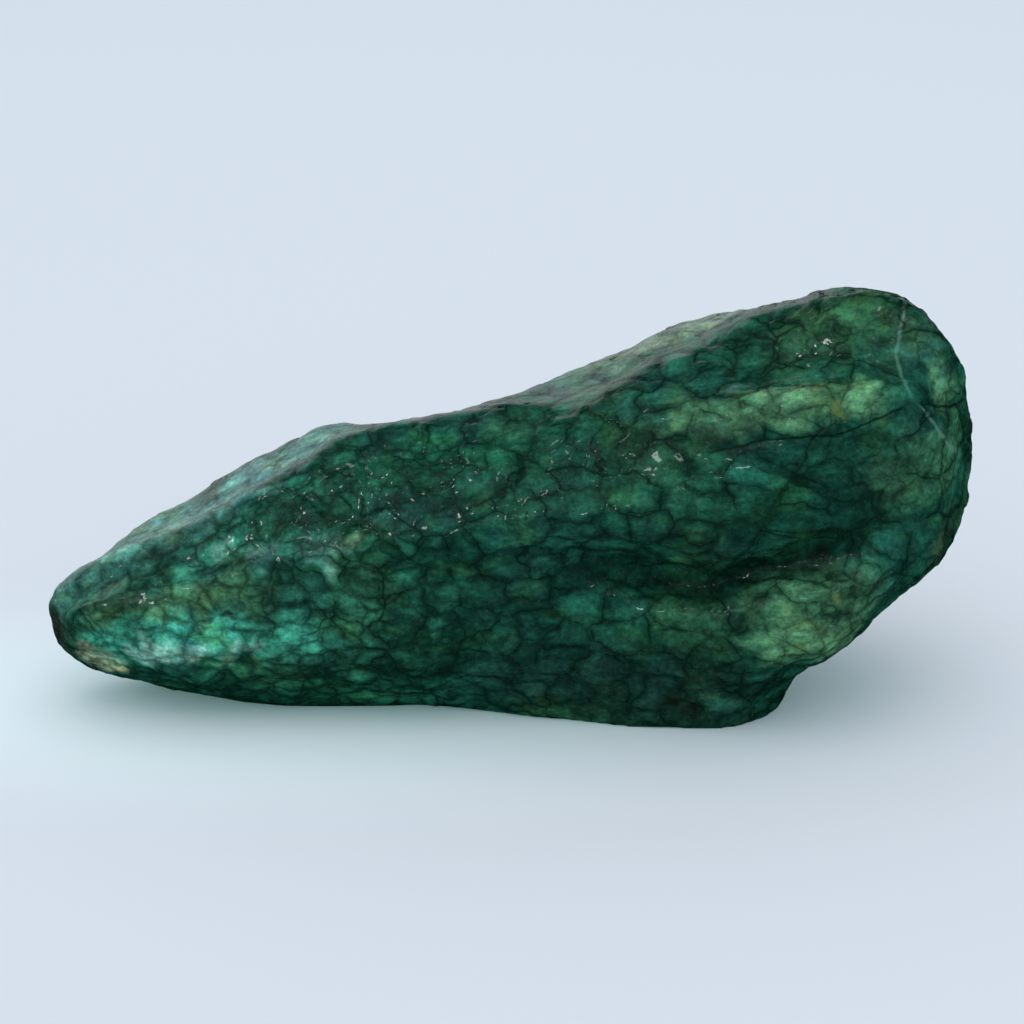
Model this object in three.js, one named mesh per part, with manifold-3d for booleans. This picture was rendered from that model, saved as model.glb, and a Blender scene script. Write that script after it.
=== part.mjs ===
// A raw emerald crystal: one long, wedge-shaped piece of rough, narrow and low at its tip and tall at
// its broken-off end, where a heavy brow hangs out over a short foot. Millimetres, +Z up. X runs from
// the tip to the broad end, -Y is the front, and the origin is the middle of the footprint, on the flat
// that the crystal rests on.
import * as THREE from "three";
import { ImprovedNoise } from "three/addons/math/ImprovedNoise.js";
import { mergeVertices } from "three/addons/utils/BufferGeometryUtils.js";
import Module from "manifold-3d";

// Driving dimensions.
const TIP = [-39.8, -3, 7.3]; // the middle of the blunt tip
const END = [40, 0.5, 20.5]; // the middle of the broad end
const STATIONS = 64; // sections between the tip and the end
const STEPS_PER_STRIP = 4; // steps across each strip between two ridge lines
const SWELLS = [
  { size: 11, height: 0.5 },
  { size: 5, height: 0.35 },
]; // the uneven growth of the faces: wavelength and height
const MERGE_WITHIN = 1e-4; // vertices this close are one
const EMERALD_GREEN = 0x1d5a45;

// The lines that the faces meet in, or fold along, each running from the tip to the broad end. Together
// they go once round the crystal: over the top, down the front, under it and up the back.
const RIDGE_LINES = {
  crest: [
    [-39.9, -2.6, 9.2], [-38, -2, 10.7], [-36, -1.4, 11.8], [-34.5, -0.8, 12.8], [-30.5, 1, 15.4],
    [-26.3, 2.3, 17.4], [-20.8, 3.2, 20.3], [-15.7, 2.6, 22.5], [-9.5, 0.8, 24.2], [-3.6, 1, 25.2],
    [0.7, 3, 26], [5.5, 5, 27.3], [11.1, 6.8, 29.4], [16.6, 7.4, 31.3], [20.6, 6.4, 32.3],
    [24.5, 4.6, 33.6], [28.3, 2.6, 36.1], [30.9, 1.8, 35.7], [33.5, 1, 34.9], [36.3, 0.8, 32],
    [38.4, 1, 28.7], [39.3, 1.2, 24.5],
  ],
  shoulder: [
    [-39.8, -3.4, 9.3], [-37.6, -3.6, 11.3], [-33, -3, 13.9], [-29.2, -2.6, 15.7],
    [-23.2, -2.2, 19.1], [-18, -1.5, 21.4], [-13.6, -0.9, 23.6], [-7.8, -0.4, 24.8],
    [-0.4, -0.5, 26.5], [4.4, 0, 27.1], [8.3, 0.8, 28], [11.7, 2, 29.7], [16.5, 2.8, 31.3],
    [20.5, 2.8, 33.2], [24.2, 2, 34.3], [28.1, 1, 35.9], [33.3, -0.8, 35.1], [36.7, -0.8, 31.5],
    [38.6, -0.4, 27],
  ],
  edge: [
    [-39.6, -4.2, 9], [-37.9, -4.6, 10.6], [-36, -4.6, 12.2], [-32.8, -4.5, 14.4],
    [-29, -4.2, 16.1], [-23, -3.8, 19.4], [-17.9, -3.2, 21.7], [-13.6, -2.2, 24.1],
    [-7.7, -1.8, 25.2], [-0.4, -2, 26.9], [4.4, -1.5, 27.3], [8.2, -0.8, 28.3], [11.6, 0.4, 30],
    [16.4, 1.2, 31.6], [20.3, 1.4, 33.5], [24.1, 1, 34.4], [28, -0.2, 36.4], [30.9, -1, 36.1],
    [33.1, -2, 35.5], [36.5, -2, 31.8], [38.4, -1.4, 26.9],
  ],
  trough: [
    [-35, -6, 11.4], [-28, -6.3, 15.1], [-21.1, -5.8, 18.6], [-13.5, -5, 22.4], [-6.8, -4.8, 24],
    [-0.2, -5, 25.6], [6.5, -4.8, 27.4], [10.6, -4.5, 28.5], [15.6, -4.2, 29.7], [22.2, -4.2, 30.2],
    [27.9, -5, 31.2], [31.1, -5.6, 31.1], [34.6, -4.6, 29.8], [38, -2.5, 26.5],
  ],
  bulge: [
    [-34.3, -7.6, 11.5], [-26.2, -7.5, 14.6], [-17.7, -7.4, 18.3], [-9.3, -7.8, 20.6],
    [-1, -8.3, 22.6], [7.2, -8.5, 24.3], [13.8, -8, 26.4], [18.6, -8.3, 28.6], [23.4, -9, 29.6],
    [28, -8.4, 29.6], [33, -7, 29], [36.6, -5, 25.7], [39, -2.5, 23.3],
  ],
  ridge: [
    [-35.5, -7.8, 11], [-29, -8.7, 12.7], [-21.7, -9, 15.2], [-15.1, -9.2, 17], [-7.6, -9.7, 17.9],
    [0.7, -10.7, 19], [7.2, -11.3, 20], [13.8, -11.3, 19.4], [19.6, -10.6, 18.2],
    [23.8, -10.3, 18.5], [27.8, -10, 20.2], [32, -9, 22], [36.6, -6, 21.4], [39.3, -2.5, 20.8],
  ],
  crease: [
    [-36.1, -8, 9.8], [-26.1, -9.9, 11.3], [-17.6, -10, 13.8], [-9.3, -9.9, 14.9],
    [-2.7, -9.6, 15.4], [4, -9.2, 15.5], [9, -8.4, 14.8], [15.8, -8.2, 12.9], [20.7, -8.6, 14.7],
    [25.9, -9.4, 16.2], [29.7, -9.7, 17.3], [33.4, -8.5, 18.9], [36.8, -5.6, 18.7],
    [39, -2.5, 18.8],
  ],
  lobe: [
    [-36.2, -7.6, 8.4], [-26.2, -10.2, 8.8], [-17.7, -10.4, 10.3], [-9.4, -10.3, 11.2],
    [-1, -10.1, 11.4], [7.4, -10, 11.3], [15.6, -11.2, 11.6], [20.5, -12.2, 13], [25.4, -12.7, 14],
    [29.5, -11.7, 15.3], [33.1, -9.2, 16.2], [36.8, -5.6, 16.4], [38.8, -2.5, 17.4],
  ],
  lip: [
    [-37.2, -6.6, 7], [-33.2, -8.4, 6.8], [-26.4, -9.6, 6], [-17.9, -9.8, 5.6], [-9.5, -9.8, 6.2],
    [-1, -9.7, 6.5], [7.4, -9.8, 6.3], [15.7, -11.3, 8.2], [20.6, -12.6, 8.9], [25.5, -12.2, 8.1],
    [28.1, -11, 9.5], [31.1, -9, 11.1], [35.2, -6, 12.8], [38.2, -3, 15.2],
  ],
  foot: [
    [-38.4, -4.8, 5.3], [-34.5, -6.3, 4.4], [-26.7, -7.6, 3.1], [-18.1, -7.8, 2.2],
    [-9.6, -7.8, 2.6], [-1, -8, 2.7], [7.5, -9, 2.1], [16, -10, 2.2], [21.3, -9, 2.5],
    [24.2, -6.7, 3.8], [28, -6.5, 6.4], [32.4, -4.8, 9.2], [37.2, -2, 12.6],
  ],
  frontSole: [
    [-39.2, -3.2, 4.6], [-37.8, -3, 3.4], [-34.8, -3.5, 2.4], [-30.5, -3, 1], [-22.7, -4.1, -0.3],
    [-15.8, -4.7, -0.5], [-11.4, -5.3, -0.3], [-6.3, -5.7, -0.1], [-1, -6.5, -0.2],
    [4.1, -7.4, -0.4], [11.8, -8.9, -0.5], [19.2, -8.6, -0.5], [22.9, -5.5, -0.2], [25, -3.5, 3.8],
    [28, -3, 8], [32.5, -2, 10.6], [37, -1, 13.6],
  ],
  backSole: [
    [-36.8, -1, 3.8], [-31, 1, 0.6], [-25, 2.5, -0.5], [-10, 5.5, -0.5], [5, 7.5, -0.5],
    [15, 8.5, -0.5], [20.5, 7, -0.5], [23.5, 5, 1.5], [27.5, 4, 7.5], [33, 3.5, 11.5],
    [37.2, 2, 15],
  ],
  backLow: [
    [-36.8, 0, 6], [-28, 3.5, 5], [-15, 7, 6], [0, 9.5, 6], [14, 11.5, 7], [24, 10.5, 9],
    [31, 8.5, 12], [37, 5, 16],
  ],
  backMiddle: [
    [-36.8, 0.2, 9], [-28, 4.5, 10], [-15, 8, 13], [0, 10.3, 14], [14, 13, 17], [26, 12, 19],
    [33, 9.5, 20], [38, 5, 20.5],
  ],
  backHigh: [
    [-39.5, -2.2, 8.6], [-36.8, 0, 10.5], [-28, 4, 13.8], [-15, 6.5, 19.5], [0, 8.5, 21.5],
    [12, 11.3, 25], [24, 10.5, 28], [31, 7.5, 29.5], [37.2, 3.8, 26],
  ],
};

// The flats that the crystal has broken along: a point on each and the way it faces.
const BREAKS = {
  tip: { at: [-39.3, -4, 6.6], facing: [-0.86, -0.42, -0.3] },
  endUpper: { at: [36.2, -3.4, 31], facing: [0.72, -0.5, 0.48] },
  endMiddle: { at: [39.5, 1.2, 21], facing: [0.9, -0.42, 0.03] },
  endLower: { at: [38.2, -2.5, 14.6], facing: [0.78, -0.3, -0.55] },
  endBack: { at: [38.9, 3, 21], facing: [0.8, 0.58, 0.12] },
  backLeft: { at: [-14, 7.2, 12], facing: [-0.22, 0.95, 0.2] },
  backMiddle: { at: [14, 11.8, 18], facing: [0.1, 0.97, 0.22] },
  backUpper: { at: [27, 8.6, 27], facing: [0.42, 0.8, 0.42] },
  backFoot: { at: [18, 9.2, 4], facing: [0.3, 0.85, -0.4] },
};

const vector = (p) => new THREE.Vector3(...p);

// The skin, as a grid of sections laid across the ridge lines and closed by a point at each end.
function layOutSkin() {
  const lines = Object.values(RIDGE_LINES).map(
    (points) => new THREE.CatmullRomCurve3([TIP, ...points, END].map(vector), false, "centripetal"),
  );
  const around = lines.length * STEPS_PER_STRIP;
  const points = [vector(TIP)];
  for (let s = 1; s < STATIONS; s++) {
    const corners = lines.map((line) => line.getPointAt(s / STATIONS));
    const section = new THREE.CatmullRomCurve3(corners, true, "centripetal");
    for (let i = 0; i < around; i++) points.push(section.getPoint(i / around));
  }
  points.push(vector(END));

  const at = (s, i) => 1 + (s - 1) * around + (i % around);
  const faces = [];
  for (let i = 0; i < around; i++) {
    faces.push([0, at(1, i + 1), at(1, i)]);
    faces.push([points.length - 1, at(STATIONS - 1, i), at(STATIONS - 1, i + 1)]);
    for (let s = 1; s < STATIONS - 1; s++) {
      faces.push([at(s, i), at(s, i + 1), at(s + 1, i + 1)]);
      faces.push([at(s, i), at(s + 1, i + 1), at(s + 1, i)]);
    }
  }
  return new THREE.BufferGeometry().setFromPoints(points).setIndex(faces.flat());
}

// Each break flattens what stands past its plane.
function flattenBreaks(geometry) {
  const { position } = geometry.attributes;
  const point = new THREE.Vector3();
  for (const { at, facing } of Object.values(BREAKS)) {
    const normal = vector(facing).normalize();
    const plane = new THREE.Plane().setFromNormalAndCoplanarPoint(normal, vector(at));
    for (let i = 0; i < position.count; i++) {
      point.fromBufferAttribute(position, i);
      const past = plane.distanceToPoint(point);
      if (past > 0) point.addScaledVector(normal, -past);
      position.setXYZ(i, point.x, point.y, point.z);
    }
  }
}

// The natural unevenness of the faces, as smooth noise along the normals.
function swell(geometry) {
  const noise = new ImprovedNoise();
  geometry.computeVertexNormals();
  const { position, normal } = geometry.attributes;
  const point = new THREE.Vector3();
  const out = new THREE.Vector3();
  for (let i = 0; i < position.count; i++) {
    point.fromBufferAttribute(position, i);
    out.fromBufferAttribute(normal, i);
    let push = 0;
    for (const { size, height } of SWELLS) {
      push += height * noise.noise(point.x / size, point.y / size, point.z / size);
    }
    point.addScaledVector(out, push);
    position.setXYZ(i, point.x, point.y, point.z);
  }
}

const wasm = await Module();
wasm.setup();

function toSolid(geometry) {
  const bare = geometry.clone();
  bare.deleteAttribute("normal");
  bare.deleteAttribute("uv");
  const merged = mergeVertices(bare, MERGE_WITHIN);
  return new wasm.Manifold(
    new wasm.Mesh({
      numProp: 3,
      vertProperties: new Float32Array(merged.attributes.position.array),
      triVerts: new Uint32Array(merged.index.array),
    }),
  );
}

function toGeometry(solid) {
  const { vertProperties, triVerts } = solid.getMesh();
  const geometry = new THREE.BufferGeometry()
    .setAttribute("position", new THREE.BufferAttribute(vertProperties, 3))
    .setIndex(new THREE.BufferAttribute(triVerts, 1));
  geometry.computeVertexNormals();
  return geometry;
}

// The flat that the crystal rests on: nothing is left below height 0.
const cutRest = (solid) => solid.trimByPlane([0, 0, 1], 0);

function standOnOrigin(geometry) {
  geometry.computeBoundingBox();
  const { min, max } = geometry.boundingBox;
  return geometry.translate(-(min.x + max.x) / 2, -(min.y + max.y) / 2, -min.z);
}

const skin = layOutSkin();
flattenBreaks(skin);
swell(skin);
const shape = standOnOrigin(toGeometry(cutRest(toSolid(skin))));

const emerald = new THREE.Mesh(
  shape,
  new THREE.MeshStandardMaterial({ color: EMERALD_GREEN, roughness: 0.35, metalness: 0 }),
);
emerald.name = "emerald_crystal";

const group = new THREE.Group();
group.add(emerald);
export default group;
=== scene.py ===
"""The looks of a raw emerald crystal: the crackle of its skin as real relief, and the stone it is made of.

The CAD solid gives the form. Its mesh is made fine and even, then raised and lowered by the same pattern of plates and
veins that colours it, so each dark vein runs in its own groove.

Lengths and places that belong to the skin are in millimetres: names ending in _MM, the streaks, marks and cracks, and
the "rest" attribute, which is the place that each point of the skin had before the relief. The studio is in metres.
"""
import math

import bpy
import numpy as np
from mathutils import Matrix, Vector, noise


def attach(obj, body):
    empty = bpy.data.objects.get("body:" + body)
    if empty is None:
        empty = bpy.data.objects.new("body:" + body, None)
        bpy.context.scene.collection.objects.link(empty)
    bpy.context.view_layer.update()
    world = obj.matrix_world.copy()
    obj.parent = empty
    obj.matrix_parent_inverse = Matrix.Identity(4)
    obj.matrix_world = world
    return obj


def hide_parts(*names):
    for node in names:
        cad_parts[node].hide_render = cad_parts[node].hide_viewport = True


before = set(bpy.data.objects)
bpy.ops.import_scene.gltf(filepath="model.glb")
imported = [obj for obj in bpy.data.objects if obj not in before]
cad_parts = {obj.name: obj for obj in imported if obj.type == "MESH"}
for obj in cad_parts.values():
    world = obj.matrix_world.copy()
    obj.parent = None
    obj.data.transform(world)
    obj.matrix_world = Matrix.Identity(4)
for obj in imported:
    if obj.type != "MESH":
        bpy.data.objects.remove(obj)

MM = 0.001
SEED = 16  # mathutils.noise takes its seed from the clock unless it is given one
noise.seed_set(SEED)
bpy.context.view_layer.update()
scene = bpy.context.scene

# ---------------------------------------------------------------- colours, as linear light

# painted shade: the dark of the fold under the ridge, put into the colour
PAINTED_SHADE = (0.003, 0.028, 0.015)
DEEP = (0.006, 0.055, 0.030)
GREEN = (0.012, 0.105, 0.058)
BRIGHT = (0.011, 0.135, 0.066)
TEAL = (0.014, 0.095, 0.072)
TURQUOISE = (0.080, 0.560, 0.365)
MILK = (0.420, 0.780, 0.620)
MOSS = (0.026, 0.150, 0.085)
LEAF = (0.032, 0.130, 0.052)
PALE_LEAF = (0.125, 0.330, 0.150)
# painted sheen: the pale reflection on the top faces and edges, put into the colour
PAINTED_SHEEN = (0.115, 0.330, 0.270)
CREAM = (0.420, 0.500, 0.300)
OCHRE = (0.200, 0.240, 0.050)
RUST = (0.060, 0.034, 0.012)
UMBER = (0.022, 0.015, 0.010)
SOOT = (0.007, 0.009, 0.005)
# bluish painted shade, for the foot and the underside of the ridge, which face down
PAINTED_BLUE_SHADE = (0.013, 0.046, 0.034)
VEIN = (0.002, 0.017, 0.010)
PAPER = (0.800, 0.812, 0.858)

# ---------------------------------------------------------------- the skin's own sizes

MESH_STEP_MM = 0.295
PLATES_MM = (5.2, 2.9, 1.9)  # the large, medium and small plates of the crackle
VEINS_MM = (0.14, 0.12, 0.12)  # how wide the dark vein between two plates is, on each side of its middle
VEIN_STRENGTHS = (0.80, 0.78, 0.45)
TONE_SPANS = (0.12, 0.22, 0.32)  # how much lighter or darker than its zone one plate may be
GROOVES_MM = (0.50, 0.40, 0.30)  # how far a vein's groove reaches
DEPTHS_MM = (0.10, 0.07, 0.03)  # how deep that groove is
TILT = 0.045  # how far each medium plate leans, as a slope
LUMPS_MM = ((6.0, 0.50), (2.4, 0.18), (0.9, 0.045))  # size and height of the unevenness of the faces
STILL_BELOW_MM = 0.7  # the relief fades out towards the resting flat below this height

# Streaks of colour, among them painted sheen and painted shade: from where to where along their middle, reach to each
# side, colour, strength.
STREAKS = [
    # the pale top faces on both sides of the crest, in painted sheen: the reflection of the bright space behind them,
    # put into the colour
    ((-36.5, -2.8, 10.8), (-15, 0.8, 23.5), 3.7, PAINTED_SHEEN, 0.9),
    ((-37.5, -4.0, 10.0), (-26, -2.0, 15.6), 2.4, PAINTED_SHEEN, 0.8),
    ((4, 5, 26), (19, 8, 32), 4.4, PAINTED_SHEEN, 0.35),
    # cream on the right top face, partly its own colour and partly painted sheen
    ((10, 5.5, 28.5), (20, 6.5, 32), 2.6, CREAM, 0.4),
    # along the narrow half, low on the front
    ((-35, -6, 10), (-13, -9.5, 10), 5.5, MOSS, 0.6),
    ((-34, -8, 7.5), (-24, -10.5, 9), 2.5, TURQUOISE, 0.75),
    ((-24, -10.5, 9), (-16, -10.5, 8.5), 2.4, TURQUOISE, 0.4),
    # painted sheen on the front of the ridge near the tip
    ((-35, -4.6, 11.6), (-26.5, -4.8, 16.4), 1.7, PAINTED_SHEEN, 0.25),
    ((-33, -1.5, 13.8), (-28.5, 0, 16.2), 1.0, PALE_LEAF, 0.8),
    ((-36.2, -6.2, 5.4), (-34.6, -6.8, 5.2), 1.5, CREAM, 0.75),
    ((-31, -9, 7.6), (-29.4, -9.2, 7.4), 1.3, MILK, 0.7),
    ((-27.2, -9.7, 7.2), (-26.2, -9.8, 7.2), 1.2, MILK, 0.6),
    ((-23, -10.2, 7.4), (-22, -10.2, 7.4), 1.2, MILK, 0.4),
    ((-27, -7, 14.6), (-16, -8.4, 16.8), 1.5, TURQUOISE, 0.2),
    ((-24.5, -7.2, 15.2), (-20.5, -8, 16), 1.0, MILK, 0.2),
    ((-17, -9, 17), (-13.5, -9.6, 16.2), 1.2, MILK, 0.15),
    ((-27.5, -9, 13), (-22, -10, 13.2), 2.2, PALE_LEAF, 0.3),
    ((-34.3, -8.3, 11.2), (-26, -9.6, 11.8), 1.8, PALE_LEAF, 0.35),
    # the upper face, from the middle to the head
    ((-12, -5, 21), (-2, -6, 23.5), 3.0, BRIGHT, 0.85),
    ((-1, -4, 25.4), (1.5, -4, 26), 1.4, PALE_LEAF, 0.15),
    ((6, -9, 20), (13, -8, 24), 3.4, DEEP, 0.35),
    ((10, -5, 27.5), (18, -5, 29.5), 1.5, TEAL, 0.5),
    ((14, -7, 28), (22, -8.8, 29.2), 1.8, PALE_LEAF, 0.5),
    ((22, -9, 29.2), (29, -8, 30), 2.2, PALE_LEAF, 0.75),
    ((24, -2, 32.5), (31, -1.5, 35), 3.2, LEAF, 0.8),
    ((16, -10, 23), (26, -10, 23), 4.0, GREEN, 0.7),
    # painted sheen on the upper end of the head
    ((33.8, -3, 33.6), (36, -4, 30.8), 2.2, PAINTED_SHEEN, 0.22),
    ((35.4, -4.6, 29.6), (37.4, -3.4, 29), 1.5, PALE_LEAF, 0.6),
    # painted shade over the ridge near the head, above the fold
    ((20, -10, 18.6), (28, -10, 19.4), 2.8, PAINTED_SHADE, 0.55),
    ((32, -8.5, 23), (37.5, -4.5, 24), 3.4, PALE_LEAF, 0.28),
    # the fold under the ridge, the lobe and the foot; the fold, the ridge over it, the foot and the low front are
    # darkened with painted shade
    ((6, -9.5, 15), (19, -8.6, 13.6), 2.4, PAINTED_SHADE, 0.8),
    ((19, -8.6, 14.4), (27, -9.4, 16.2), 1.4, PAINTED_SHADE, 0.8),
    ((22, -12, 12.4), (29, -12, 13.5), 3.6, PALE_LEAF, 0.45),
    ((23, -12.4, 9.4), (27.5, -11.6, 9.4), 2.8, PALE_LEAF, 0.75),
    # painted shade on the underside of the ridge over the fold
    ((8, -11.2, 18.4), (19, -10.7, 17.4), 1.2, PAINTED_BLUE_SHADE, 0.6),
    ((31, -10, 15), (34, -8, 17), 2.6, TEAL, 0.4),
    # painted shade on the foot, bluish, and on the low front beside it, deep green: both face down under the lobe and
    # the ridge
    ((0, -10, 5), (19, -10, 4), 4.2, PAINTED_BLUE_SHADE, 0.7),
    ((-9, -10, 8), (0, -10, 9), 4.0, DEEP, 0.5),
    ((36.5, -5.5, 14), (37.5, -5, 17.5), 1.8, RUST, 0.4),
    # the back
    ((-26, 6, 8), (-14, 9, 7), 2.6, TURQUOISE, 0.35),
    ((-8, 11, 14), (6, 12, 12), 3.5, TEAL, 0.6),
    ((16, 12, 22), (28, 10, 15), 4.0, LEAF, 0.7),
    ((24, 10, 28), (32, 7, 20), 2.4, PALE_LEAF, 0.5),
]

# How far the veins fade under a colour.
VEILS = {PAINTED_SHEEN: 0.6, CREAM: 0.6, PALE_LEAF: 0.4, MILK: 0.5, TURQUOISE: 0.3}

# Small marks: middle, radius, colour, strength.
MARKS = [
    ((25.3, -7.6, 30.4), 0.75, OCHRE, 0.45),
    ((26.7, -8.8, 29.5), 0.9, OCHRE, 0.45),
    ((27.3, -8.9, 28.8), 0.6, OCHRE, 0.45),
    ((23.3, -12.5, 12.8), 0.7, OCHRE, 0.45),
    ((27.2, -12.5, 13.6), 0.8, OCHRE, 0.45),
    ((21.0, -7.6, 29.9), 0.45, RUST, 0.6),
    ((26.3, -12.4, 10.3), 0.55, RUST, 0.6),
    ((-2.3, -9.9, 14.3), 0.8, SOOT, 0.7),
    ((-23.2, -9.9, 11.2), 0.8, SOOT, 0.7),
    ((-13.2, -2.4, 24.2), 0.8, SOOT, 0.7),
    ((1.4, -10.2, 20.3), 0.45, SOOT, 0.7),
    ((18.3, -3.4, 30.3), 1.0, SOOT, 0.7),
    ((25.8, -9.2, 16.2), 1.1, SOOT, 0.7),
    ((-38.8, -4.6, 6.8), 3.0, UMBER, 0.7),
    ((14.0, -9.8, 2.8), 1.5, SOOT, 0.7),
    ((15.6, -9.8, 2.0), 1.2, SOOT, 0.7),
]

# Long open cracks, dark, and healed ones, pale. Each is a line drawn on the front in X and Z.
OPEN_CRACKS = {
    "crack_long": [(15.8, 25.4), (18, 25.9), (21.1, 26.8), (24.1, 27), (27.6, 27.2), (31, 28.3), (33.3, 29.1)],
    "crack_end": [(33.3, 29.1), (34.8, 28.6), (36.7, 27.7), (39.5, 26.2)],
}
HEALED_CRACKS = {
    "crack_up": [(33.3, 29.2), (32.2, 30.8), (32, 32.2), (32.6, 34.4), (33, 36.5)],
    "crack_down": [(33.4, 29.2), (34, 28.6), (35.7, 26), (38, 22.6)],
}
CRACK_FADES_MM = 1.2  # over this length at its ends
OPEN_GROOVE_MM = 0.45  # half the width of an open crack's groove
OPEN_DEPTH_MM = 0.22
OPEN_LINE_MM = 0.15  # half the width of its dark line
HEALED_LINE_MM = 0.20
FRONT_BEHIND_MM = 1.5  # the cracks are drawn on the skin in front of this Y


class Nodes:
    """Short ways to add nodes to a tree, in a material or in geometry nodes."""

    def __init__(self, tree):
        self.tree = tree

    def add(self, kind, inputs=None, **settings):
        node = self.tree.nodes.new(kind)
        for name, value in settings.items():
            setattr(node, name, value)
        for name, value in (inputs or {}).items():
            self.feed(node.inputs[name], value)
        return node

    def feed(self, socket, value):
        if isinstance(value, bpy.types.NodeSocket):
            self.tree.links.new(value, socket)
        else:
            socket.default_value = value

    def attribute(self, name):
        """A vector kept on the mesh."""
        if self.tree.bl_idname == "GeometryNodeTree":
            node = self.add("GeometryNodeInputNamedAttribute", {"Name": name}, data_type="FLOAT_VECTOR")
            return node.outputs["Attribute"]
        return self.add("ShaderNodeAttribute", attribute_name=name).outputs["Vector"]

    def math(self, operation, a, b=0.0, c=0.0, clamp=False):
        return self.add("ShaderNodeMath", {0: a, 1: b, 2: c}, operation=operation, use_clamp=clamp).outputs[0]

    def vector(self, operation, a, b=(0, 0, 0), scale=1.0):
        node = self.add("ShaderNodeVectorMath", {0: a, 1: b, 3: scale}, operation=operation)
        scalar = operation in ("DOT_PRODUCT", "LENGTH", "DISTANCE")
        return node.outputs["Value" if scalar else "Vector"]

    def split(self, vector):
        return self.add("ShaderNodeSeparateXYZ", {0: vector}).outputs

    def noise(self, vector, size, detail=2.0, roughness=0.5, color=False):
        node = self.add(
            "ShaderNodeTexNoise",
            {"Vector": vector, "Scale": 1 / size, "Detail": detail, "Roughness": roughness},
        )
        return node.outputs["Color" if color else "Fac"]

    def ease(self, value, start, end, low=0.0, high=1.0):
        """From low at start to high at end, with a soft beginning and end."""
        node = self.add(
            "ShaderNodeMapRange",
            {"Value": value, "From Min": start, "From Max": end, "To Min": low, "To Max": high},
            interpolation_type="SMOOTHSTEP",
        )
        return node.outputs["Result"]

    def mix(self, amount, a, b, blend="MIX"):
        node = self.add("ShaderNodeMix", {0: amount}, data_type="RGBA", blend_type=blend)
        for socket, value in ((node.inputs[6], a), (node.inputs[7], b)):
            self.feed(socket, (*value, 1.0) if isinstance(value, tuple) else value)
        return node.outputs[2]

    def tone(self, color, amount, low, high):
        """The colour times low where amount is 0 and times high where it is 1."""
        return self.mix(1.0, color, self.mix(amount, low, high), "MULTIPLY")


def voronoi(n, at, feature):
    inputs = {"Vector": at, "Scale": 1.0, "Randomness": 0.9}
    return n.add("ShaderNodeTexVoronoi", inputs, feature=feature, voronoi_dimensions="3D").outputs


def crackle(n, rest):
    """The plates of the skin, in the tree of n. For each plate size: how far in mm the nearest vein is, a random colour
    for the plate that a point is on, and where in mm the point is from the plate's middle."""
    bend = n.vector("SUBTRACT", n.noise(rest, 3.6, color=True), (0.5, 0.5, 0.5))
    fine_bend = n.vector("SUBTRACT", n.noise(rest, 0.9, color=True), (0.5, 0.5, 0.5))
    bent = n.vector("ADD", rest, n.vector("SCALE", bend, scale=2.6))
    bent = n.vector("ADD", bent, n.vector("SCALE", fine_bend, scale=0.55))
    layers = []
    for size in PLATES_MM:
        at = n.vector("MULTIPLY", bent, (0.78 / size, 1 / size, 1.12 / size))
        edge = voronoi(n, at, "DISTANCE_TO_EDGE")
        plate = voronoi(n, at, "F1")
        from_middle = n.vector("SUBTRACT", at, plate["Position"])
        layers.append(
            {
                "away": n.math("MULTIPLY", edge["Distance"], size),
                "random": plate["Color"],
                "from_middle": n.vector("SCALE", from_middle, scale=size),
            }
        )
    return layers


def strongest(n, values):
    """The largest of several values at each point."""
    result = values[0]
    for value in values[1:]:
        result = n.math("MAXIMUM", result, value)
    return result


def crack_line(n, name, half_width):
    """1 along the middle of one named crack, 0 outside half_width in mm."""
    across, present, _ = n.split(n.attribute(name))
    line = n.ease(n.math("ABSOLUTE", across), half_width * 0.25, half_width, 1.0, 0.0)
    return n.math("MULTIPLY", line, present)


# ---------------------------------------------------------------- the mesh and what is kept on it


def even_skin(node):
    """The CAD solid's surface as an even mesh fine enough for the crackle."""
    skin = bpy.data.objects.new("crystal_skin", node.data.copy())
    scene.collection.objects.link(skin)
    remesh = skin.modifiers.new("even", "REMESH")
    remesh.mode = "VOXEL"
    remesh.voxel_size = MESH_STEP_MM * MM
    soften = skin.modifiers.new("soften", "SMOOTH")
    soften.iterations = 3
    apply_modifiers(skin)
    return skin


def apply_modifiers(obj):
    depsgraph = bpy.context.evaluated_depsgraph_get()
    mesh = bpy.data.meshes.new_from_object(obj.evaluated_get(depsgraph))
    obj.modifiers.clear()
    obj.data = mesh
    mesh.polygons.foreach_set("use_smooth", [True] * len(mesh.polygons))


def points(mesh):
    """Where the mesh's vertices are, in metres."""
    flat = np.empty(len(mesh.vertices) * 3)
    mesh.vertices.foreach_get("co", flat)
    return flat.reshape(-1, 3)


def keep(mesh, name, values, kind="FLOAT_VECTOR"):
    """Put one value for each vertex on the mesh as a named attribute."""
    attribute = mesh.attributes.new(name, kind, "POINT")
    attribute.data.foreach_set("color" if kind == "FLOAT_COLOR" else "vector", values.astype(np.float32).ravel())


def smoothstep(low, high, value):
    t = np.clip((value - low) / (high - low), 0, 1)
    return t * t * (3 - 2 * t)


def noise_field(points, size, seed):
    """Smooth noise, three values from -1 to 1 at each point."""
    offset = Vector((seed * 17.3, seed * 5.1, seed * 9.7))
    return np.array([noise.noise_vector(Vector(p) / size + offset) for p in points])


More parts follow.
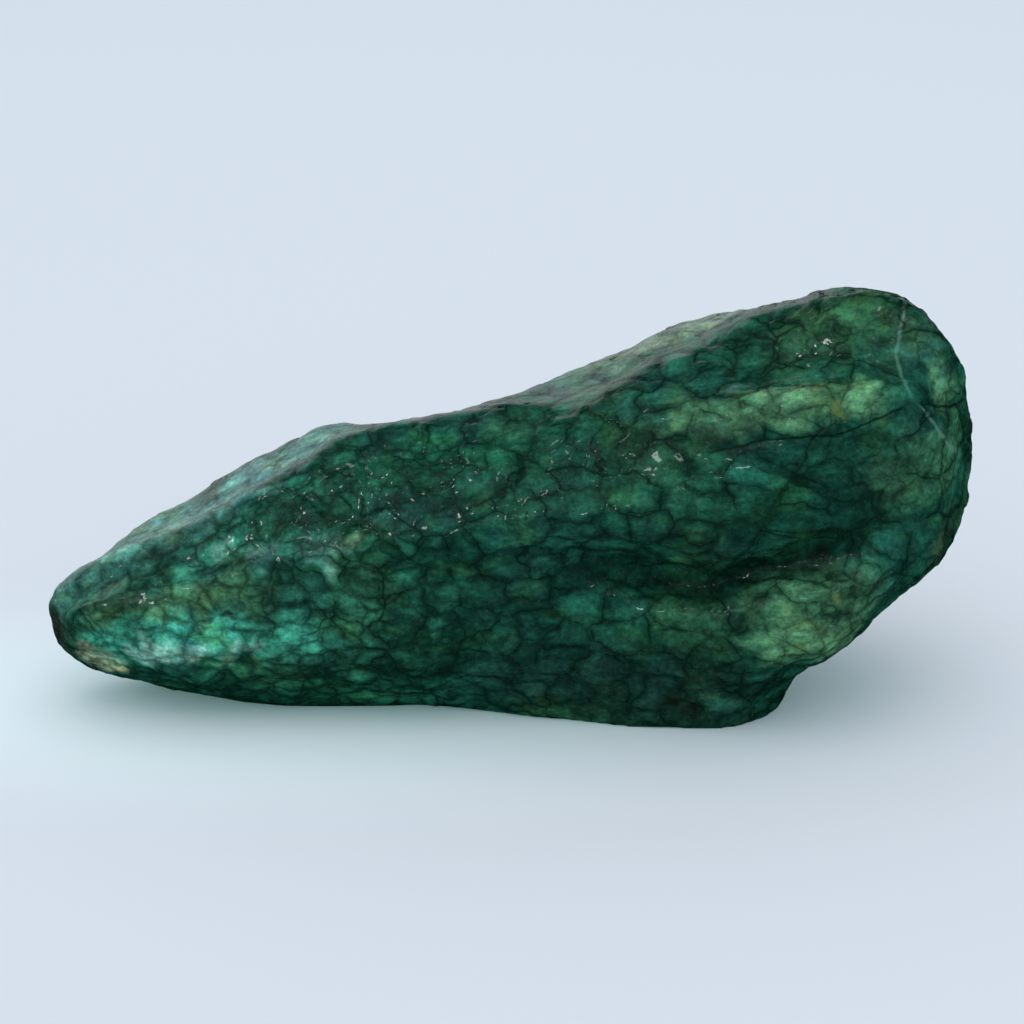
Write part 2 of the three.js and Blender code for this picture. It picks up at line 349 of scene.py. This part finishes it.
def paint_streaks(mesh, rest):
    """The colour zones of the stone, with painted sheen and painted shade among them, kept on the mesh as tint; its
    alpha is how strongly veins show there.
    """
    wide = noise_field(rest, 9.0, 1)
    middling = noise_field(rest, 3.0, 2)
    tint = np.tile(np.array(GREEN), (len(rest), 1))
    clear = np.ones(len(rest))
    for amount, color in (
        (smoothstep(0.0, 0.45, wide[:, 0]), TEAL),
        (smoothstep(0.05, 0.5, wide[:, 1] + 0.3 * middling[:, 0]), LEAF),
        (smoothstep(0.1, 0.6, wide[:, 2] + 0.3 * middling[:, 1]), DEEP),
    ):
        tint += 0.7 * amount[:, None] * (np.array(color) - tint)
    ragged = rest + 1.5 * middling + 1.0 * noise_field(rest, 1.2, 3)
    for start, end, reach, color, strength in STREAKS:
        start, along = np.array(start), np.subtract(end, start)
        t = np.clip((ragged - start) @ along / (along @ along), 0, 1)
        away = np.linalg.norm(ragged - start - t[:, None] * along, axis=1) / reach
        amount = strength * smoothstep(1.3, 0.4, away)
        tint += amount[:, None] * (np.array(color) - tint)
        clear *= 1 - VEILS.get(color, 0) * amount
    keep(mesh, "tint", np.column_stack([tint, clear]), "FLOAT_COLOR")


def choose_plates(mesh, rest):
    """How strongly each plate size shows: small plates near the tip, large ones on the head."""
    x = rest[:, 0] + 5 * noise_field(rest, 8.0, 4)[:, 0]
    large = smoothstep(10, 24, x)
    medium = smoothstep(-32, -12, x) * (1 - 0.4 * smoothstep(22, 32, x))
    small = 1 - 0.8 * smoothstep(-12, 10, x)
    keep(mesh, "plates", np.column_stack([large, medium, small]))


def mark_crack(mesh, rest, name, line):
    """For each point of the front, how far to the side of the crack it is, and how surely the crack is there."""
    place = rest[:, [0, 2]]  # X and Z
    line = np.array(line)
    best = np.full(len(rest), 1e9)
    across = np.zeros(len(rest))
    along = np.zeros(len(rest))
    done = 0.0
    for start, end in zip(line[:-1], line[1:]):
        step = end - start
        length = np.linalg.norm(step)
        t = np.clip((place - start) @ step / length**2, 0, 1)
        offset = place - (start + t[:, None] * step)
        away = np.linalg.norm(offset, axis=1)
        side = np.sign(step[0] * offset[:, 1] - step[1] * offset[:, 0])
        nearer = away < best
        best[nearer] = away[nearer]
        across[nearer] = (side * away)[nearer]
        along[nearer] = (done + t * length)[nearer]
        done += length
    present = smoothstep(0, CRACK_FADES_MM, along) * smoothstep(done, done - CRACK_FADES_MM, along)
    present *= rest[:, 1] < FRONT_BEHIND_MM
    across += 0.2 * noise_field(rest, 1.8, 5)[:, 0] + 0.1 * noise_field(rest, 0.7, 6)[:, 0]
    keep(mesh, name, np.column_stack([across, present, np.zeros(len(rest))]))


# ---------------------------------------------------------------- relief


def relief_tree():
    """Geometry nodes that raise the plates and lower the veins along the skin's normals."""
    tree = bpy.data.node_groups.new("relief", "GeometryNodeTree")
    tree.interface.new_socket("Geometry", in_out="INPUT", socket_type="NodeSocketGeometry")
    tree.interface.new_socket("Geometry", in_out="OUTPUT", socket_type="NodeSocketGeometry")
    n = Nodes(tree)
    rest = n.attribute("rest")
    shows = n.split(n.attribute("plates"))
    height = 0.0
    layers = crackle(n, rest)
    for layer, show, reach, depth in zip(layers, shows, GROOVES_MM, DEPTHS_MM):
        groove = n.ease(layer["away"], 0.0, reach, -depth, 0.0)
        height = n.math("MULTIPLY_ADD", groove, show, height)
    lean = n.vector("SUBTRACT", layers[1]["random"], (0.5, 0.5, 0.5))
    tilt = n.vector("DOT_PRODUCT", lean, layers[1]["from_middle"])
    height = n.math("MULTIPLY_ADD", tilt, 2 * TILT, height)
    for size, tall in LUMPS_MM:
        lump = n.math("SUBTRACT", n.noise(rest, size, detail=1.0), 0.5)
        height = n.math("MULTIPLY_ADD", lump, 2 * tall, height)
    for name in OPEN_CRACKS:
        height = n.math("MULTIPLY_ADD", crack_line(n, name, OPEN_GROOVE_MM), -OPEN_DEPTH_MM, height)
    still = n.ease(n.split(rest)[2], 0.05, STILL_BELOW_MM)
    height = n.math("MULTIPLY", n.math("MULTIPLY", height, still), MM)
    normal = n.add("GeometryNodeInputNormal").outputs[0]
    geometry = n.add("NodeGroupInput").outputs[0]
    offset = n.vector("SCALE", normal, scale=height)
    moved = n.add("GeometryNodeSetPosition", {"Geometry": geometry, "Offset": offset})
    n.feed(n.add("NodeGroupOutput").inputs[0], moved.outputs[0])
    return tree


def raise_relief(skin):
    """Give the skin its relief, with nothing below the surface that the stone rests on."""
    relief = skin.modifiers.new("relief", "NODES")
    relief.node_group = relief_tree()
    apply_modifiers(skin)
    mesh = skin.data
    places = points(mesh)
    places[:, 2] = np.maximum(places[:, 2], 0)
    mesh.vertices.foreach_set("co", places.ravel())
    mesh.update()


# ---------------------------------------------------------------- the stone


def blank_material(name):
    """A material with an empty tree, and the tree's Nodes."""
    material = bpy.data.materials.new(name)
    material.use_nodes = True
    material.node_tree.nodes.clear()
    return material, Nodes(material.node_tree)


def emerald_material():
    material, n = blank_material("emerald")
    rest = n.attribute("rest")
    shows = n.split(n.attribute("plates"))
    layers = crackle(n, rest)
    tint = n.add("ShaderNodeAttribute", attribute_name="tint").outputs

    # Fibres and clouds, drawn out along the stone, and each plate with its own tone.
    color = tint["Color"]
    along = n.vector("MULTIPLY", rest, (0.45, 1, 1))
    fibre = n.noise(along, 1.3, detail=6.0, roughness=0.68)
    color = n.tone(color, n.ease(fibre, 0.32, 0.68), (0.55, 0.55, 0.6), (1.5, 1.42, 1.42))
    cloud = n.split(n.noise(along, 2.4, detail=4.0, roughness=0.6, color=True))
    color = n.mix(n.ease(cloud[0], 0.52, 0.7, 0.0, 0.8), color, n.tone(color, 1.0, (1, 1, 1), (1.6, 1.12, 0.74)))
    color = n.mix(n.ease(cloud[1], 0.52, 0.7, 0.0, 0.8), color, n.tone(color, 1.0, (1, 1, 1), (0.8, 0.96, 1.18)))
    for layer, show, size, span in zip(layers, shows, PLATES_MM, TONE_SPANS):
        random = n.split(layer["random"])[0]
        toned = n.tone(color, random, (1 - span,) * 3, (1 + span,) * 3)
        middle = n.ease(layer["away"], 0.04 * size, 0.3 * size)
        toned = n.tone(toned, middle, (0.84,) * 3, (1.16,) * 3)
        color = n.mix(show, color, toned)
    wisps = n.ease(n.noise(rest, 1.6, detail=5.0, roughness=0.62), 0.52, 0.74)
    color = n.mix(n.math("MULTIPLY", wisps, 0.10), color, TURQUOISE)
    mottle = n.noise(rest, 0.45, detail=3.0, roughness=0.7)
    color = n.tone(color, n.ease(mottle, 0.25, 0.75), (0.62, 0.62, 0.62), (1.38, 1.38, 1.38))

    # The veins fade in and out along their length, and the plates darken towards them.
    fades = n.ease(n.noise(rest, 2.4, detail=3.0), 0.34, 0.56, 0.22, 1.0)
    fades = n.math("MULTIPLY", fades, tint["Alpha"])
    veins = []
    shades = []
    for layer, show, width, strength in zip(layers, shows, VEINS_MM, VEIN_STRENGTHS):
        core = n.ease(layer["away"], width * 0.25, width, strength, 0.0)
        veins.append(n.math("MULTIPLY", core, show))
        shade = n.ease(layer["away"], 0.0, width * 5, 0.5, 0.0)
        shades.append(n.math("MULTIPLY", shade, show))
    vein = n.math("MULTIPLY", strongest(n, veins), fades)
    shade = n.math("MULTIPLY", strongest(n, shades), fades)
    color = n.mix(shade, color, VEIN)
    for name in HEALED_CRACKS:
        color = n.mix(n.math("MULTIPLY", crack_line(n, name, HEALED_LINE_MM), 0.15), color, MILK)
    open_cracks = strongest(n, [crack_line(n, name, OPEN_LINE_MM) for name in OPEN_CRACKS])
    color = n.mix(n.math("MULTIPLY", open_cracks, 0.85), n.mix(vein, color, VEIN), VEIN)

    # Small marks of iron stain and dark inclusions.
    ragged = n.vector("SUBTRACT", n.noise(rest, 1.1, detail=4.0, color=True), (0.5, 0.5, 0.5))
    place = n.vector("ADD", rest, n.vector("SCALE", ragged, scale=2.6))
    for middle, radius, mark, strength in MARKS:
        away = n.vector("DISTANCE", place, middle)
        color = n.mix(n.ease(away, radius * 0.3, radius, strength, 0.0), color, mark)

    rough = n.noise(rest, 0.7, detail=3.0)
    grain = n.noise(rest, 0.28, detail=3.0, roughness=0.6)
    pits = n.noise(rest, 1.0, detail=4.0, roughness=0.65)
    bump = n.add("ShaderNodeBump", {"Height": grain, "Strength": 0.5, "Distance": 0.09 * MM}).outputs[0]
    bump = n.add("ShaderNodeBump", {"Height": pits, "Strength": 0.5, "Distance": 0.25 * MM, "Normal": bump}).outputs[0]
    shader = n.add(
        "ShaderNodeBsdfPrincipled",
        {
            "Base Color": color,
            "Roughness": n.ease(rough, 0.3, 0.7, 0.12, 0.28),
            "Normal": bump,
            "IOR": 1.57,
            "Specular IOR Level": 0.28,
            "Subsurface Weight": 0.25,
            "Subsurface Radius": (0.5, 1.0, 0.75),
            "Subsurface Scale": 0.9 * MM,
            "Coat Weight": 0.45,
            "Coat Roughness": 0.06,
        },
    )
    output = n.add("ShaderNodeOutputMaterial")
    n.feed(output.inputs["Surface"], shader.outputs[0])
    return material


def make_crystal():
    skin = even_skin(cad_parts["emerald_crystal"])
    mesh = skin.data
    rest = points(mesh) / MM
    keep(mesh, "rest", rest)
    paint_streaks(mesh, rest)
    choose_plates(mesh, rest)
    for name, line in {**OPEN_CRACKS, **HEALED_CRACKS}.items():
        mark_crack(mesh, rest, name, line)
    raise_relief(skin)
    skin.data.materials.clear()
    skin.data.materials.append(emerald_material())
    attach(skin, "root")
    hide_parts("emerald_crystal")


# ---------------------------------------------------------------- the studio

CAMERA_UP = math.radians(24)
CAMERA_AWAY = 0.245
LENS_MM = 100
SENSOR_MM = 36
LOOK_AT = Vector((0.4, 0.1, 16.0)) * MM

# Painted light on the paper around the stone: the paper glows, standing in for light that comes through the stone.
GLOW = (0.45, 1.00, 0.90)
GLOW_STRENGTH = 0.12
GLOW_MIDDLE = (-0.015, -0.003, 0)
GLOW_REACH = (0.041, 0.016)

# Bright paper behind the stone, for its edges to mirror.
CARD_PLACE = (-0.12, 0.5, -0.14)
CARD_SIZE = (0.6, 0.34)

# Small lights that show only as glints on the wet skin: place and power.
WINDOW_SIZE = (0.04, 0.04)
WINDOW_COLOR = (0.92, 0.98, 1.00)
WINDOWS = {
    "high_window": ((-0.22, -0.16, 0.55), 0.035),
    "low_window": ((-0.08, -0.46, 0.40), 0.07),
    "side_window": ((-0.37, -0.28, 0.39), 0.11),
}
ROOM = (0.70, 0.83, 0.90, 1)
ROOM_STRENGTH = 0.90


def make_floor():
    bpy.ops.mesh.primitive_plane_add(size=4)
    floor = bpy.context.object
    floor.name = "paper"
    material = bpy.data.materials.new("paper")
    material.use_nodes = True
    n = Nodes(material.node_tree)
    shader = material.node_tree.nodes["Principled BSDF"]
    place = n.add("ShaderNodeTexCoord").outputs["Object"]
    grain = n.noise(place, 0.4 * MM, detail=2.0)
    bump = n.add("ShaderNodeBump", {"Height": grain, "Strength": 0.25, "Distance": 0.03 * MM})
    n.feed(shader.inputs["Base Color"], (*PAPER, 1))
    # painted light: the paper itself glows green around the stone
    aside = n.vector("SUBTRACT", place, GLOW_MIDDLE)
    near = n.vector("LENGTH", n.vector("MULTIPLY", aside, (1 / GLOW_REACH[0], 1 / GLOW_REACH[1], 0)))
    n.feed(shader.inputs["Emission Color"], (*GLOW, 1))
    n.feed(shader.inputs["Emission Strength"], n.ease(near, 0.5, 1.7, GLOW_STRENGTH, 0.0))
    n.feed(shader.inputs["Roughness"], 0.9)
    n.feed(shader.inputs["Specular IOR Level"], 0.1)
    n.feed(shader.inputs["Normal"], bump.outputs[0])
    floor.data.materials.append(material)
    floor.visible_glossy = False


def make_card():
    """A glowing upright card that is seen in reflections only."""
    bpy.ops.mesh.primitive_plane_add(size=1, location=CARD_PLACE, rotation=(math.pi / 2, 0, 0))
    card = bpy.context.object
    card.name = "card"
    card.scale = (*CARD_SIZE, 1)
    material, n = blank_material("card")
    glow = n.add("ShaderNodeEmission", {"Color": (*PAPER, 1), "Strength": 0.5})
    n.feed(n.add("ShaderNodeOutputMaterial").inputs["Surface"], glow.outputs[0])
    material.cycles.emission_sampling = "NONE"
    card.data.materials.append(material)
    card.visible_camera = False
    card.visible_diffuse = False
    card.visible_shadow = False


def make_softbox(name, place, size, power, color, lights=True, mirrored=True):
    """A lamp aimed at the stone, which lights what is around it, is mirrored in polish, or both."""
    light = bpy.data.lights.new(name, "AREA")
    light.shape = "RECTANGLE"
    light.size, light.size_y = size
    light.energy = power
    light.color = color
    lamp = bpy.data.objects.new(name, light)
    scene.collection.objects.link(lamp)
    lamp.location = place
    lamp.rotation_euler = (LOOK_AT - Vector(place)).to_track_quat("-Z", "Y").to_euler()
    lamp.visible_diffuse = lights
    lamp.visible_glossy = mirrored


def make_light():
    make_softbox("sky_softbox", (-0.28, 0.50, 0.26), (0.8, 0.44), 0.62, (0.90, 0.96, 1.0), lights=False)
    make_softbox("top_softbox", (0.0, -0.05, 0.75), (0.9, 0.9), 1.9, (1.0, 0.88, 0.88), mirrored=False)
    for name, (place, power) in WINDOWS.items():
        make_softbox(name, place, WINDOW_SIZE, power, WINDOW_COLOR, lights=False)
    world = bpy.data.worlds.new("room")
    world.use_nodes = True
    background = world.node_tree.nodes["Background"]
    background.inputs["Color"].default_value = ROOM
    background.inputs["Strength"].default_value = ROOM_STRENGTH
    world.cycles_visibility.glossy = False
    scene.world = world
    scene.view_settings.view_transform = "Standard"


def make_camera():
    camera = bpy.data.objects.new("camera", bpy.data.cameras.new("camera"))
    scene.collection.objects.link(camera)
    camera.data.lens = LENS_MM
    camera.data.sensor_width = SENSOR_MM
    toward = Vector((0, -math.cos(CAMERA_UP), math.sin(CAMERA_UP)))
    camera.location = LOOK_AT + toward * CAMERA_AWAY
    camera.rotation_euler = (math.pi / 2 - CAMERA_UP, 0, 0)
    scene.camera = camera


make_crystal()
make_floor()
make_card()
make_light()
make_camera()
